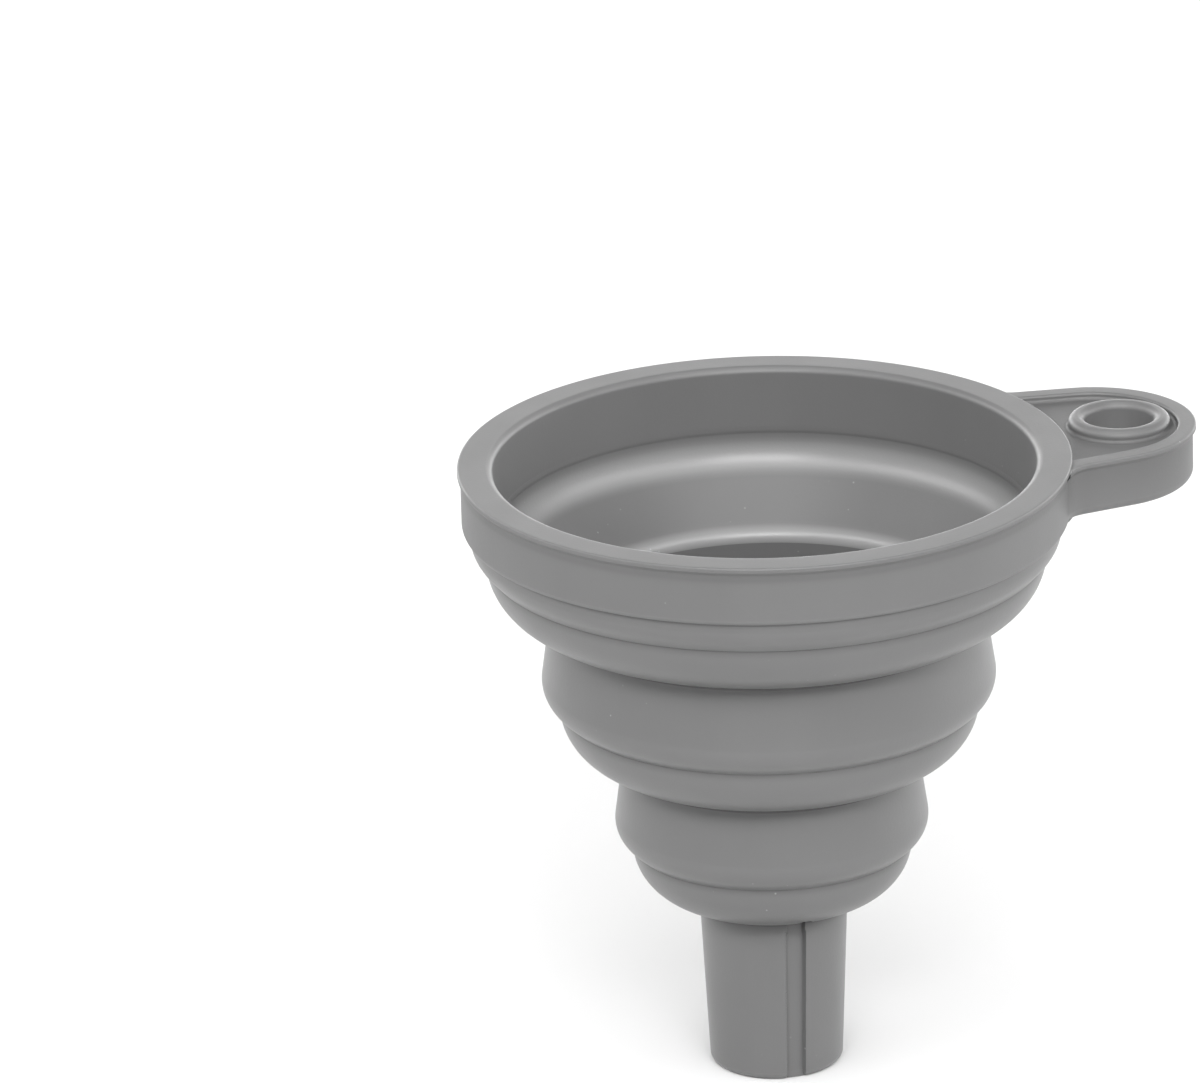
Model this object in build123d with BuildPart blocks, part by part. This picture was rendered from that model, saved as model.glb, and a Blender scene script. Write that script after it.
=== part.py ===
from build123d import *

import os
from math import atan2, cos, sin, tan

# Collapsible silicone funnel, in millimetres. The origin is the centre of the outlet, +Z is up towards the
# mouth and +X points along the hanging tab. The funnel is one moulding; each zone of it that keeps its shape,
# and each fold that bends between two of them, is its own solid.

# ---- Driving dimensions ------------------------------------------------------------------------------------

# Heights, from the outlet up
spout_length = 22.2
fold_height = 7.3  # each of the three folds
lower_ring_height = 11.6
middle_ring_height = 12.3
bowl_height = 4.3
rim_height = 7.7

# Outside radii, each where a wall starts at its top
spout_top_radius = 9.3
lower_neck_radius = 18.6
middle_neck_radius = 27.2
rim_band_radius = 37.8

# How far each outside wall leans in or out on its way down
spout_taper = 1.0
lower_flare = 1.25
middle_flare = 1.4
ring_tuck = 1.8
belly_drop = 1.9  # from a ring's fullest corner down to its foot
bowl_step = 1.0
bowl_tuck = 1.3

# Walls
spout_wall = 1.8
neck_wall = 1.6
foot_wall = 1.4
rim_wall = 4.0
mouth_draft = 0.8

# Lip round the top edge, with a slanted underside
lip_overhang = 0.4
lip_height = 0.6
lip_slant = 0.5

# Folds
ledge = 0.55  # how far inside the foot of the wall above it each fold starts
wall_seam_rise = 3.4  # how far above the ledge a fold's inside starts
throat_seam_drop = 1.3  # how far below the neck a fold's inside ends

# Roundings
belly_rounding = 3.6
bowl_rounding = 3.0
cove_rounding = 5.5
throat_rounding = 1.4
mouth_rounding = 0.9
lip_rounding = 0.25
band_rounding = 0.4
tip_rounding = 1.1
outlet_rounding = 0.4

# Hanging tab
tab_half_width = 12.8
tab_drop = 0.6  # from the rim's top down to the tab's border
tab_border = 1.9
tab_recess = 0.9
tab_root_flare = 1.1
tab_root_inset = 3.1
tab_root_fillet = 4.5
tab_bottom_rounding = 1.3
eyelet_radius = 6.4
eyelet_hole_radius = 4.3
eyelet_rounding = 0.8
eyelet_rim_gap = 1.9
eyelet_end_gap = 0.7

# Air grooves down the spout, one each side
air_groove_width = 2.4
air_groove_depth = 0.75
air_groove_notch = 1.4  # how far each groove's arched top cuts up into the fold above

# ---- Levels and radii that follow --------------------------------------------------------------------------

lower_fold_top = spout_length + fold_height
lower_ring_top = lower_fold_top + lower_ring_height
middle_fold_top = lower_ring_top + fold_height
middle_ring_top = middle_fold_top + middle_ring_height
upper_fold_top = middle_ring_top + fold_height
bowl_top = upper_fold_top + bowl_height
rim_top = bowl_top + rim_height
seam_top = upper_fold_top + wall_seam_rise

spout_tip_radius = spout_top_radius - spout_taper
outlet_radius = spout_tip_radius - spout_wall
lower_foot_radius = lower_neck_radius + lower_flare - ring_tuck
middle_foot_radius = middle_neck_radius + middle_flare - ring_tuck
bowl_top_radius = rim_band_radius - bowl_step
bowl_foot_radius = bowl_top_radius - bowl_tuck
mouth_radius = rim_band_radius - rim_wall
lip_radius = rim_band_radius + lip_overhang


def mouth_wall(z):
    """Inside radius of the mouth's slightly tapered wall at height z."""
    share = (z - upper_fold_top) / (rim_top - upper_fold_top)
    return mouth_radius - (1 - share) * mouth_draft


def turned(outline, radii):
    """A solid of revolution about the funnel's axis, from a closed outline of (radius, height) points."""
    with BuildPart() as solid:
        with BuildSketch(Plane.XZ):
            with BuildLine():
                FilletPolyline(*outline, radius=radii, close=True)
            make_face()
        revolve(axis=Axis.Z)
    return solid


def turned_fold(foot_radius, wall_radius, top, neck_radius, throat_radius):
    """A living fold: outside, a quarter round from the ledge to the neck; inside, a cone with a cove above."""
    start_radius = foot_radius - ledge
    neck = top - fold_height
    lean = atan2(wall_radius - throat_radius, fold_height)  # of the cone, from upright
    cove = min(cove_rounding, 0.95 * wall_seam_rise / tan(lean / 2))  # ends below the seam
    with BuildPart() as fold:
        with BuildSketch(Plane.XZ):
            with BuildLine():
                EllipticalCenterArc((neck_radius, top), start_radius - neck_radius, fold_height, 270, arc_size=90)
                FilletPolyline(
                    (neck_radius, neck),
                    (throat_radius, neck - throat_seam_drop),
                    (throat_radius, neck),
                    (wall_radius, top),
                    (wall_radius, top + wall_seam_rise),
                    (start_radius, top),
                    radius=[0, throat_rounding, cove, 0],
                )
            make_face()
        revolve(axis=Axis.Z)
    return fold


def turned_ring(neck_radius, flare, top, bottom):
    """A stiff ring: a flaring outside that rounds in to its foot, with seams where the folds join it."""
    belly_radius = neck_radius + flare
    foot_radius = belly_radius - ring_tuck
    outline = [
        (neck_radius, top),
        (belly_radius, bottom + belly_drop),
        (foot_radius, bottom),
        (foot_radius - ledge, bottom),
        (foot_radius - foot_wall, bottom + wall_seam_rise),
        (neck_radius - neck_wall, top - throat_seam_drop),
    ]
    return turned(outline, [0, belly_rounding, 0, 0, 0, 0])


# ---- Air grooves -------------------------------------------------------------------------------------------

# The cutter's floor follows the spout's taper, so both grooves keep one depth.
taper = atan2(spout_taper, spout_length)
groove_plane = Plane(
    origin=(0, air_groove_depth - spout_tip_radius, 0), x_dir=(1, 0, 0), z_dir=(0, -cos(taper), -sin(taper))
)
groove_arch = spout_length + air_groove_notch - air_groove_width / 2

with BuildPart() as air_grooves:
    with BuildSketch(groove_plane):
        with Locations((0, groove_arch)):
            Circle(air_groove_width / 2)
            Rectangle(air_groove_width, 2 * groove_arch, align=(Align.CENTER, Align.MAX))
    extrude(amount=lower_foot_radius)
    mirror(about=Plane.XZ)

# ---- Spout and rings ---------------------------------------------------------------------------------------

spout = turned(
    [
        (spout_top_radius, spout_length),
        (spout_tip_radius, 0),
        (outlet_radius, 0),
        (outlet_radius, spout_length - throat_seam_drop),
    ],
    [0, min(tip_rounding, 0.6 * spout_wall), min(outlet_rounding, 0.3 * spout_wall), 0],
)
lower_ring = turned_ring(lower_neck_radius, lower_flare, lower_ring_top, lower_fold_top)
middle_ring = turned_ring(middle_neck_radius, middle_flare, middle_ring_top, middle_fold_top)

# ---- Folds -------------------------------------------------------------------------------------------------

lower_fold = turned_fold(
    lower_foot_radius, lower_foot_radius - foot_wall, lower_fold_top, spout_top_radius, outlet_radius
)
middle_fold = turned_fold(
    middle_foot_radius, middle_foot_radius - foot_wall, middle_fold_top,
    lower_neck_radius, lower_neck_radius - neck_wall,
)
upper_fold = turned_fold(
    bowl_foot_radius, mouth_wall(seam_top), upper_fold_top, middle_neck_radius, middle_neck_radius - neck_wall
)

# ---- Bowl and rim ------------------------------------------------------------------------------------------

bowl_wall = turned(
    [
        (bowl_top_radius, bowl_top),
        (bowl_top_radius, upper_fold_top + belly_drop),
        (bowl_foot_radius, upper_fold_top),
        (bowl_foot_radius - ledge, upper_fold_top),
        (mouth_wall(seam_top), seam_top),
        (mouth_wall(bowl_top), bowl_top),
    ],
    [0, bowl_rounding, 0, 0, 0, 0],
)

lip_bottom = rim_top - lip_height
rim_collar = turned(
    [
        (mouth_wall(bowl_top), bowl_top),
        (rim_band_radius, bowl_top),
        (rim_band_radius, lip_bottom - lip_slant),
        (lip_radius, lip_bottom),
        (lip_radius, rim_top),
        (mouth_radius, rim_top),
    ],
    [0, band_rounding, 0, lip_rounding / 2, lip_rounding, mouth_rounding],
)

# ---- Hanging tab -------------------------------------------------------------------------------------------

tab_top = rim_top - tab_drop
tab_thickness = tab_top - bowl_top  # down to the bottom of the rim's band
eyelet_distance = lip_radius + eyelet_rim_gap + eyelet_radius
tab_reach = eyelet_distance + eyelet_radius + eyelet_end_gap + tab_border
tab_end_centre = tab_reach - tab_half_width
tab_root_distance = rim_band_radius - tab_root_inset
tab_root_half_width = tab_half_width + tab_root_flare


def tab_outline():
    """The tab in plan with the rim's disc, blended where they meet."""
    with BuildSketch() as outline:
        Circle(rim_band_radius)
        with BuildLine():
            end = ThreePointArc(
                (tab_end_centre, -tab_half_width), (tab_reach, 0), (tab_end_centre, tab_half_width)
            )
            Polyline(
                end @ 1, (tab_root_distance, tab_root_half_width), (0, tab_root_half_width),
                (0, -tab_root_half_width), (tab_root_distance, -tab_root_half_width), end @ 0,
            )
        make_face()
        roots = outline.vertices().filter_by(lambda v: abs(Vector(v).length - rim_band_radius) < 0.01 and v.X > 0)
        fillet(roots, tab_root_fillet)
    return outline.sketch


with BuildPart() as hanging_tab:
    with BuildSketch(Plane.XY.offset(bowl_top)):
        add(tab_outline())
    extrude(amount=tab_thickness)
    fillet(hanging_tab.faces().sort_by(Axis.Z)[0].edges(), tab_bottom_rounding)
    with BuildSketch(Plane.XY.offset(tab_top - lip_height)):
        add(tab_outline())
        offset(amount=lip_overhang)
        Circle(lip_radius, mode=Mode.SUBTRACT)
    extrude(amount=lip_height)
    with BuildSketch(Plane.XY.offset(tab_top - tab_recess)):
        add(tab_outline())
        offset(amount=-tab_border)
        Circle(lip_radius, mode=Mode.SUBTRACT)
    extrude(amount=tab_recess, mode=Mode.SUBTRACT)
    with BuildSketch(Plane.XY.offset(bowl_top)):
        with Locations((eyelet_distance, 0)):
            Circle(eyelet_radius)
    extrude(amount=tab_thickness, mode=Mode.SUBTRACT)
    with BuildSketch(Plane.XY.offset(bowl_top)):
        Circle(rim_band_radius)
    extrude(amount=tab_thickness, mode=Mode.SUBTRACT)
    add(rim_collar.part, mode=Mode.SUBTRACT)

with BuildPart() as hanging_eyelet:
    with BuildSketch(Plane.XY.offset(bowl_top)):
        with Locations((eyelet_distance, 0)):
            Circle(eyelet_radius)
            Circle(eyelet_hole_radius, mode=Mode.SUBTRACT)
    extrude(amount=rim_height)
    eyelet_width = eyelet_radius - eyelet_hole_radius
    fillet(hanging_eyelet.faces().sort_by(Axis.Z)[-1].edges(), min(eyelet_rounding, 0.4 * eyelet_width))

# ---- Written files -----------------------------------------------------------------------------------------

os.makedirs("parts", exist_ok=True)
pieces = {
    "spout": spout.part - air_grooves.part,
    "lower_fold": lower_fold.part - air_grooves.part,
    "lower_ring": lower_ring.part,
    "middle_fold": middle_fold.part,
    "middle_ring": middle_ring.part,
    "upper_fold": upper_fold.part,
    "bowl_wall": bowl_wall.part,
    "rim_collar": rim_collar.part,
    "hanging_tab": hanging_tab.part,
    "hanging_eyelet": hanging_eyelet.part,
}
for name, piece in pieces.items():
    piece.label = name
    export_step(piece, f"parts/{name}.step")
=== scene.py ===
# %% [markdown]
# # A collapsible silicone funnel
# The real object is one soft grey moulding. Stiff rings are joined by thin webs that can be pushed inside
# out, so that the funnel packs down to less than half its height. This lesson rebuilds it as ten pieces round
# a fixed frame: what turns about the funnel's axis is spun from an outline by Geometry Nodes, and the hanging
# tab is bridged from offset loops.

# %% Load the frame
import math

import bmesh
import bpy
from mathutils import Matrix, Vector


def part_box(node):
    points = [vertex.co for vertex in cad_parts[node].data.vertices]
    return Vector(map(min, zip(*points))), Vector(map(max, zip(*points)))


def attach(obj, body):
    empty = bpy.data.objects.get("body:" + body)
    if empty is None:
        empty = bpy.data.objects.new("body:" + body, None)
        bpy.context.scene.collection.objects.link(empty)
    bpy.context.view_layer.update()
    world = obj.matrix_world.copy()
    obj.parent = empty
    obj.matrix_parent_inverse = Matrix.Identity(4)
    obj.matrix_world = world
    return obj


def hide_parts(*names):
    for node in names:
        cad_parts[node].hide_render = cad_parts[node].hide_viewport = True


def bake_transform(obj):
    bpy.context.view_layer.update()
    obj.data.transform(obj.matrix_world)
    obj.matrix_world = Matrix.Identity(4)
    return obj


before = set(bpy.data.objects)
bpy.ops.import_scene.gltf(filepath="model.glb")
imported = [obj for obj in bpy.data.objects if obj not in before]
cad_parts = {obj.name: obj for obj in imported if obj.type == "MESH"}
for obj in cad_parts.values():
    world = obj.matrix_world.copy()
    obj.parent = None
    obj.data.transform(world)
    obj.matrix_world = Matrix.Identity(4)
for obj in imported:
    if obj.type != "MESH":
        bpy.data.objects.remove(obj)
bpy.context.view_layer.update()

MM = 0.001

# %% [markdown]
# ## The camera
# A camera could be dragged into place by eye. Here it is placed by the direction it looks from and by where
# the funnel's axis falls in the frame, so each can be changed by itself. A long lens a long way off keeps the
# rings' ellipses alike from top to bottom, and a roll of a degree or so tips the funnel slightly.

# %% Camera
CAMERA_AZIMUTH = math.radians(-16.5)
CAMERA_ELEVATION = math.radians(20.6)
CAMERA_ROLL = math.radians(-1.45)
CAMERA_DISTANCE = 1.8
SENSOR_WIDTH = 36.0
VIEW_WIDTH = 150 * MM  # how much of the funnel's surroundings the frame spans, side to side
AXIS_POINT = Vector((0, 0, 42 * MM))
AXIS_RIGHT = 21.3 * MM  # how far right of the frame's centre the axis point falls
AXIS_BELOW = 25.45 * MM  # and how far below it


def add_camera():
    """A camera that looks from the chosen side, with the funnel placed low and right in the frame."""
    camera = bpy.data.objects.new("camera", bpy.data.cameras.new("camera"))
    bpy.context.scene.collection.objects.link(camera)
    back = Vector((
        math.sin(CAMERA_AZIMUTH) * math.cos(CAMERA_ELEVATION),
        -math.cos(CAMERA_AZIMUTH) * math.cos(CAMERA_ELEVATION),
        math.sin(CAMERA_ELEVATION),
    ))
    turn = (-back).to_track_quat("-Z", "Y").to_matrix() @ Matrix.Rotation(CAMERA_ROLL, 3, "Z")
    aim = AXIS_POINT - turn.col[0] * AXIS_RIGHT + turn.col[1] * AXIS_BELOW
    camera.matrix_world = Matrix.Translation(aim + back * CAMERA_DISTANCE) @ turn.to_4x4()
    camera.data.sensor_width = SENSOR_WIDTH
    camera.data.lens = SENSOR_WIDTH * CAMERA_DISTANCE / VIEW_WIDTH
    camera.data.clip_end = 10 * CAMERA_DISTANCE
    bpy.context.scene.camera = camera
    print("camera with a", round(camera.data.lens), "mm lens")


add_camera()

# %% [markdown]
# ## The floor and the light
# Silicone is judged by its soft highlights, so the studio matters as much as the material. A ring of light a
# little above the horizon draws the bright line that follows the cove inside the bowl, and leaves the
# undersides of the folds in shade. It could be many lamps, but painting it into the world takes one small
# tree. A glow low behind the funnel lifts the edges of its outline, a panel in front adds a stronger spark,
# and one above fills the inside of the bowl.

# %% Studio
FLOOR_TONE = 0.78
FLOOR_ROUGHNESS = 0.9
FLOOR_RADIUS = 6  # metres, far past the frame's edges
FLOOR_SEGMENTS = 64
WORLD_BASE = 0.15
RING_GLOW = 5.6
RING_TILT = 0.36  # the ring is lower at the back than in front
RING_HEIGHTS = (0.20, 0.31, 0.42, 0.56)  # above its tilted plane: where it starts, peaks, fades and ends
BACK_GLOW = 1.3
BACK_AZIMUTH = math.radians(148)
BACK_SPREAD = (0.2, 0.9)  # how closely a direction has to point backwards: from nothing to the full glow
BACK_HEIGHTS = (0.45, 0.6)  # the glow is full up to the first height and gone at the second
BACK_DIRECTION = (math.sin(BACK_AZIMUTH), -math.cos(BACK_AZIMUTH), 0)
LIGHTS = {
    # name: (azimuth, elevation, distance, width, height, power)
    "front_panel": (-14, 34, 1.3, 0.9, 0.16, 8.0),
    "top_panel": (0, 80, 0.9, 0.8, 0.8, 3.6),
}


def calculate(tree, operation, *values, clamp=False):
    """A Math node: sockets are linked, numbers are set. Returns its result socket."""
    node = tree.nodes.new("ShaderNodeMath")
    node.operation = operation
    node.use_clamp = clamp
    for socket, value in zip(node.inputs, values):
        if isinstance(value, bpy.types.NodeSocket):
            tree.links.new(value, socket)
        else:
            socket.default_value = value
    return node.outputs[0]


def ramp(tree, value, low, high):
    """Turns a value between low and high into 0 to 1, smoothly. Where low is the larger, it falls."""
    node = tree.nodes.new("ShaderNodeMapRange")
    node.interpolation_type = "SMOOTHSTEP"
    node.inputs["From Min"].default_value = low
    node.inputs["From Max"].default_value = high
    tree.links.new(value, node.inputs["Value"])
    return node.outputs["Result"]


def add_floor():
    """A wide disc under the funnel, in one pale tone."""
    mesh = bpy.data.meshes.new("floor")
    shape = bmesh.new()
    bmesh.ops.create_circle(shape, cap_ends=True, segments=FLOOR_SEGMENTS, radius=FLOOR_RADIUS)
    shape.to_mesh(mesh)
    shape.free()
    floor = bpy.data.objects.new("floor", mesh)
    bpy.context.scene.collection.objects.link(floor)
    material = bpy.data.materials.new("pale floor")
    material.use_nodes = True
    shader = material.node_tree.nodes["Principled BSDF"]
    shader.inputs["Base Color"].default_value = (FLOOR_TONE, FLOOR_TONE, FLOOR_TONE, 1)
    shader.inputs["Roughness"].default_value = FLOOR_ROUGHNESS
    shader.inputs["Specular IOR Level"].default_value = 0.0
    mesh.materials.append(material)


def add_panel(name, azimuth, elevation, distance, width, height, power):
    """A rectangular soft light that faces the middle of the funnel."""
    light = bpy.data.lights.new(name, "AREA")
    light.shape = "RECTANGLE"
    light.size, light.size_y = width, height
    light.energy = power
    panel = bpy.data.objects.new(name, light)
    bpy.context.scene.collection.objects.link(panel)
    turn, rise = math.radians(azimuth), math.radians(elevation)
    away = Vector((math.sin(turn) * math.cos(rise), -math.cos(turn) * math.cos(rise), math.sin(rise)))
    panel.location = AXIS_POINT + away * distance
    panel.rotation_mode = "QUATERNION"
    panel.rotation_quaternion = (-away).to_track_quat("-Z", "Y")


def light_world():
    """A dim surround with a ring of light above the horizon and a glow low at the back."""
    world = bpy.data.worlds.new("studio")
    world.use_nodes = True
    tree = world.node_tree
    direction = tree.nodes.new("ShaderNodeTexCoord").outputs["Generated"]
    split = tree.nodes.new("ShaderNodeSeparateXYZ")
    tree.links.new(direction, split.inputs["Vector"])
    height = split.outputs["Z"]
    backwards = tree.nodes.new("ShaderNodeVectorMath")
    backwards.operation = "DOT_PRODUCT"
    backwards.inputs[1].default_value = BACK_DIRECTION
    tree.links.new(direction, backwards.inputs[0])
    behind = backwards.outputs["Value"]
    start, peak, fade, end = RING_HEIGHTS
    across = calculate(tree, "MULTIPLY_ADD", behind, RING_TILT, height)
    ring = calculate(tree, "MULTIPLY", ramp(tree, across, start, peak), ramp(tree, across, end, fade))
    back = ramp(tree, behind, *BACK_SPREAD)
    back = calculate(tree, "MULTIPLY", back, ramp(tree, height, *reversed(BACK_HEIGHTS)))
    glow = calculate(tree, "MULTIPLY_ADD", ring, RING_GLOW, WORLD_BASE)
    glow = calculate(tree, "MULTIPLY_ADD", back, BACK_GLOW, glow)
    tree.links.new(glow, tree.nodes["Background"].inputs["Strength"])
    tree.nodes["Background"].inputs["Color"].default_value = (1, 1, 1, 1)
    bpy.context.scene.world = world


add_floor()
light_world()
for panel_name, panel_values in LIGHTS.items():
    add_panel(panel_name, *panel_values)
bpy.context.scene.view_settings.view_transform = "Standard"  # so that the pale floor reads as near-white
print("a ring of light,", len(LIGHTS), "panels and a floor")

# %% [markdown]
# ## The material's parts
# Moulded silicone is satin: the mould's blasted surface leaves a fine grain, the pigment is a little uneven,
# and lint clings to it. The same nodes could be copied into every material. Instead, each of the three is a
# node group with its own inputs, so that walls, webs and rim can use it with different strengths.

# %% Node helpers
def new_group(name, inputs, outputs):
    """An empty shader group with named inputs and outputs, and its two end nodes."""
    group = bpy.data.node_groups.new(name, "ShaderNodeTree")
    for label, kind, value in inputs:
        group.interface.new_socket(label, in_out="INPUT", socket_type=kind).default_value = value
    for label, kind in outputs:
        group.interface.new_socket(label, in_out="OUTPUT", socket_type=kind)
    return group, group.nodes.new("NodeGroupInput"), group.nodes.new("NodeGroupOutput")


def noise(tree, vector, scale, detail):
    """A noise texture read at a scale in waves per metre. Returns its value socket."""
    node = tree.nodes.new("ShaderNodeTexNoise")
    node.inputs["Scale"].default_value = scale
    node.inputs["Detail"].default_value = detail
    tree.links.new(vector, node.inputs["Vector"])
    return node.outputs["Fac"]


def attribute(tree, name):
    """A number stored on the mesh. Returns its value socket."""
    node = tree.nodes.new("ShaderNodeAttribute")
    node.attribute_name = name
    return node.outputs["Fac"]


# %% Fine grain
GRAIN_WAVES = 2600  # per metre, about 0.4 mm
GRAIN_DETAIL = 3
PIT_CELLS = 1500  # per metre
PIT_EDGE = (0.22, 0.05)  # distances from a cell's middle, in cells: from untouched down to fully sunk


def fine_grain():
    """The satin left by a blasted mould: soft bumps, with a few small pits."""
    group, start, end = new_group(
        "Fine grain",
        [("Vector", "NodeSocketVector", (0, 0, 0)), ("Pits", "NodeSocketFloat", 0.3)],
        [("Height", "NodeSocketFloat")],
    )
    bumps = noise(group, start.outputs["Vector"], GRAIN_WAVES, GRAIN_DETAIL)
    cells = group.nodes.new("ShaderNodeTexVoronoi")
    cells.inputs["Scale"].default_value = PIT_CELLS
    group.links.new(start.outputs["Vector"], cells.inputs["Vector"])
    pits = ramp(group, cells.outputs["Distance"], *PIT_EDGE)
    pits = calculate(group, "MULTIPLY", pits, start.outputs["Pits"])
    group.links.new(calculate(group, "SUBTRACT", bumps, pits), end.inputs["Height"])
    return group


# %% Uneven pigment
BLOTCH_WAVES = 45
STREAK_WAVES = 190
STREAK_STRETCH = 0.12  # under 1 draws the streaks out upwards
STREAK_SHARE = 0.35  # how strong the streaks are beside the blotches
BLOTCH_DETAIL = 2
STREAK_DETAIL = 3


def uneven_pigment():
    """Slow blotches and faint upright streaks, where the silicone flowed up the mould."""
    group, start, end = new_group(
        "Uneven pigment",
        [("Vector", "NodeSocketVector", (0, 0, 0)), ("Amount", "NodeSocketFloat", 0.06)],
        [("Shade", "NodeSocketFloat")],
    )
    blotches = noise(group, start.outputs["Vector"], BLOTCH_WAVES, BLOTCH_DETAIL)
    stretch = group.nodes.new("ShaderNodeMapping")
    stretch.inputs["Scale"].default_value = (1, 1, STREAK_STRETCH)
    group.links.new(start.outputs["Vector"], stretch.inputs["Vector"])
    streaks = noise(group, stretch.outputs["Vector"], STREAK_WAVES, STREAK_DETAIL)
    both = calculate(group, "MULTIPLY_ADD", streaks, STREAK_SHARE, blotches)
    centred = calculate(group, "SUBTRACT", both, (1 + STREAK_SHARE) / 2)
    shade = calculate(group, "MULTIPLY_ADD", centred, start.outputs["Amount"], 1.0)
    group.links.new(shade, end.inputs["Shade"])
    return group


# %% Lint
LINT_CELLS = 420
LINT_EDGE = (0.075, 0.03)  # distances from a speck's middle: from none to full
LINT_PATCH_WAVES = 70
LINT_PATCH_DETAIL = 2
LINT_PATCH_EDGE = (0.5, 0.72)  # noise values: from no lint to the most


def lint():
    """Sparse pale specks of dust, thicker in patches, which silicone picks up by static."""
    group, start, end = new_group(
        "Lint",
        [("Vector", "NodeSocketVector", (0, 0, 0)), ("Amount", "NodeSocketFloat", 0.4)],
        [("Mask", "NodeSocketFloat")],
    )
    cells = group.nodes.new("ShaderNodeTexVoronoi")
    cells.inputs["Scale"].default_value = LINT_CELLS
    group.links.new(start.outputs["Vector"], cells.inputs["Vector"])
    specks = ramp(group, cells.outputs["Distance"], *LINT_EDGE)
    patches = noise(group, start.outputs["Vector"], LINT_PATCH_WAVES, LINT_PATCH_DETAIL)
    patches = ramp(group, patches, *LINT_PATCH_EDGE)
    mask = calculate(group, "MULTIPLY", specks, patches)
    group.links.new(calculate(group, "MULTIPLY", mask, start.outputs["Amount"]), end.inputs["Mask"])
    return group


FINE_GRAIN = fine_grain()
UNEVEN_PIGMENT = uneven_pigment()
LINT = lint()
print("groups:", [group.name for group in bpy.data.node_groups])

# %% [markdown]
# ## The silicone itself
# One function builds the finish, because the whole funnel is one moulding. Three painted materials would do,
# but then a change of tone would have to be made three times. What differs is wear and painted light: edges
# are rubbed a little paler and smoother, creases are painted darker as shade, a painted highlight follows
# each fold's hinge and lip, and the rim is duller than the walls. The meshes carry three numbers for this,
# worked out from
# how the outline turns: one on convex turns for the rubbed edges, one on hollow turns for the painted shade,
# and one on the gentle curves of a hinge and of a throat's lip for the painted highlight.

# %% Silicone finishes
SILICONE_TONE = 0.12
SILICONE_ROUGHNESS = 0.36
SILICONE_IOR = 1.45
SILICONE_GLOSS = 0.7  # the shader's specular level
RIM_DULLNESS = 0.14  # how much rougher the rim is than the walls
PIGMENT_AMOUNT = 0.16
RUB_PALENESS = 0.14
RUB_SHINE = 0.05  # how much smoother a rubbed edge is
# a painted highlight along each fold's hinge and throat lip
HIGHLIGHT_PALENESS = 1.1
LINT_TONE = 0.5
LINT_DULLNESS = 0.3
PATCH_WAVES = 120  # of the uneven gloss, per metre
PATCH_DETAIL = 3
PATCH_RANGE = 0.12  # how far the roughness wanders in all
GRAIN_HEIGHT = 0.02 * MM
GRAIN_STRENGTH = 0.6


def silicone(name, tone, roughness, rub, crease_shade, pits, dust):
    """Satin grey silicone: grain, pigment, lint, rubbed edges, painted crease shade and painted hinge
    highlights.
    """
    material = bpy.data.materials.new(name)
    material.use_nodes = True
    tree = material.node_tree
    shader = tree.nodes["Principled BSDF"]
    shader.inputs["IOR"].default_value = SILICONE_IOR
    shader.inputs["Specular IOR Level"].default_value = SILICONE_GLOSS
    place = tree.nodes.new("ShaderNodeTexCoord").outputs["Object"]

    def effect(group, **values):
        """One of the groups above, placed in this material with its own values."""
        node = tree.nodes.new("ShaderNodeGroup")
        node.node_tree = group
        tree.links.new(place, node.inputs["Vector"])
        for label, value in values.items():
            node.inputs[label].default_value = value
        return node.outputs[0]

    shade = effect(UNEVEN_PIGMENT, Amount=PIGMENT_AMOUNT)
    rubbed = calculate(tree, "MULTIPLY", attribute(tree, "Rub"), rub, clamp=True)
    crease_shaded = attribute(tree, "CreaseShade")
    highlighted = attribute(tree, "HingeHighlight")
    # Rubbed edges turn paler as wear; hollow turns are painted darker as shade, and hinges and lips paler as
    # a highlight.
    for mark, strength in ((rubbed, RUB_PALENESS), (highlighted, HIGHLIGHT_PALENESS), (crease_shaded, -crease_shade)):
        change = calculate(tree, "MULTIPLY_ADD", mark, strength, 1.0)
        shade = calculate(tree, "MULTIPLY", shade, change)
    grey = calculate(tree, "MULTIPLY", shade, tone)
    specks = effect(LINT, Amount=dust)
    dusty = tree.nodes.new("ShaderNodeMix")
    tree.links.new(specks, dusty.inputs["Factor"])
    tree.links.new(grey, dusty.inputs["A"])
    dusty.inputs["B"].default_value = LINT_TONE
    colour = tree.nodes.new("ShaderNodeCombineColor")
    for channel in ("Red", "Green", "Blue"):
        tree.links.new(dusty.outputs["Result"], colour.inputs[channel])
    tree.links.new(colour.outputs["Color"], shader.inputs["Base Color"])

    patchy = noise(tree, place, PATCH_WAVES, PATCH_DETAIL)
    dull = calculate(tree, "MULTIPLY_ADD", patchy, PATCH_RANGE, roughness - PATCH_RANGE / 2)
    dull = calculate(tree, "MULTIPLY_ADD", rubbed, -RUB_SHINE, dull)
    dull = calculate(tree, "MULTIPLY_ADD", specks, LINT_DULLNESS, dull, clamp=True)
    tree.links.new(dull, shader.inputs["Roughness"])

    bump = tree.nodes.new("ShaderNodeBump")
    bump.inputs["Distance"].default_value = GRAIN_HEIGHT
    bump.inputs["Strength"].default_value = GRAIN_STRENGTH
    tree.links.new(effect(FINE_GRAIN, Pits=pits), bump.inputs["Height"])
    tree.links.new(bump.outputs["Normal"], shader.inputs["Normal"])
    return material


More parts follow.
